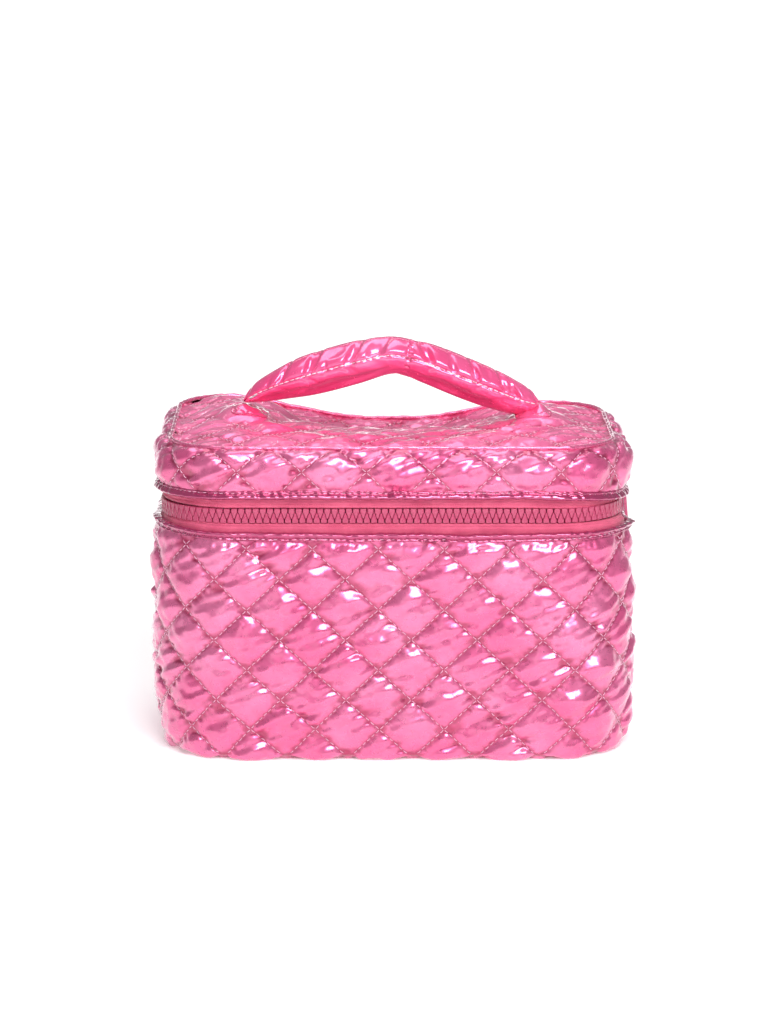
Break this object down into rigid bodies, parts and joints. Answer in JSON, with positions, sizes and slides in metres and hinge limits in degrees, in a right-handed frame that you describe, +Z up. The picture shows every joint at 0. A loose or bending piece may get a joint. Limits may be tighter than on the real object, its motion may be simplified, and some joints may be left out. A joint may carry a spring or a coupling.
{
  "type": "quilted makeup bag",
  "caption": "Soft box-shaped makeup bag of quilted fabric with a zipped lid that folds back on a cloth hinge and a padded handle that arches over the top.",
  "frame": {"origin": "middle of the flat underside, where the bag rests", "axes": "+X along the width, to the right of someone facing the front; -Y is the front; +Z up"},
  "size_m": [0.2576, 0.156, 0.2162],
  "materials": {
    "quilted_shell": "glossy pearl nylon",
    "rim_cloth": "satin",
    "hinge_cloth": "satin",
    "lining": "matte",
    "foam": "matte",
    "board": "matte",
    "binding": "matte",
    "zip_tape": "matte woven",
    "zip_teeth": "gloss",
    "slider": "gloss",
    "handle_cloth": "glossy pearl nylon",
    "filling": "matte",
    "webbing": "matte woven"
  },
  "bodies": {
    "base": {"base_quilted_wall": "quilted_shell", "base_quilted_bottom": "quilted_shell", "base_rim_fold": "rim_cloth", "base_wall_foam": "foam", "base_bottom_board": "board", "base_seam_binding": "binding", "base_wall_lining": "lining", "base_floor_lining": "lining", "zip_tape_lower": "zip_tape", "zip_teeth_lower": "zip_teeth", "zip_end_stops": "zip_teeth", "hinge_outer_panel": "hinge_cloth", "hinge_lining": "lining"},
    "lid": {"lid_quilted_wall": "quilted_shell", "lid_quilted_top": "quilted_shell", "lid_top_welt": "rim_cloth", "lid_rim_fold": "rim_cloth", "lid_wall_foam": "foam", "lid_top_foam": "foam", "lid_wall_lining": "lining", "lid_ceiling_lining": "lining", "zip_tape_upper": "zip_tape", "zip_teeth_upper": "zip_teeth", "handle_foot_left": "handle_cloth", "handle_foot_right": "handle_cloth"},
    "handle": {"handle_sleeve": "handle_cloth", "handle_filling": "filling", "handle_webbing": "webbing"},
    "slider_front": {"zip_slider_front": "slider"},
    "slider_rear": {"zip_slider_rear": "slider"},
    "pull_front": {"zip_pull_front": "slider"},
    "pull_rear": {"zip_pull_rear": "slider"}
  },
  "joints": [
    {"name": "lid_hinge", "type": "hinge", "parent": "base", "child": "lid", "pos_m": [0, 0.0725, 0.132], "axis": [-1, 0, 0], "range_deg": [0, 100]},
    {"name": "handle_swing", "type": "hinge", "parent": "lid", "child": "handle", "pos_m": [0, 0, 0.178], "axis": [1, 0, 0], "range_deg": [-75, 75]},
    {"name": "slider_front_travel", "type": "slide", "parent": "base", "child": "slider_front", "axis": [0, -1, 0], "range_m": [0, 0.031]},
    {"name": "slider_rear_travel", "type": "slide", "parent": "base", "child": "slider_rear", "axis": [0, 1, 0], "range_m": [0, 0.007]},
    {"name": "pull_front_swing", "type": "hinge", "parent": "slider_front", "child": "pull_front", "pos_m": [0.1276, 0.0043, 0.132], "axis": [0, -1, 0], "range_deg": [0, 150]},
    {"name": "pull_rear_swing", "type": "hinge", "parent": "slider_rear", "child": "pull_rear", "pos_m": [0.1276, 0.0197, 0.132], "axis": [0, -1, 0], "range_deg": [0, 150]}
  ]
}
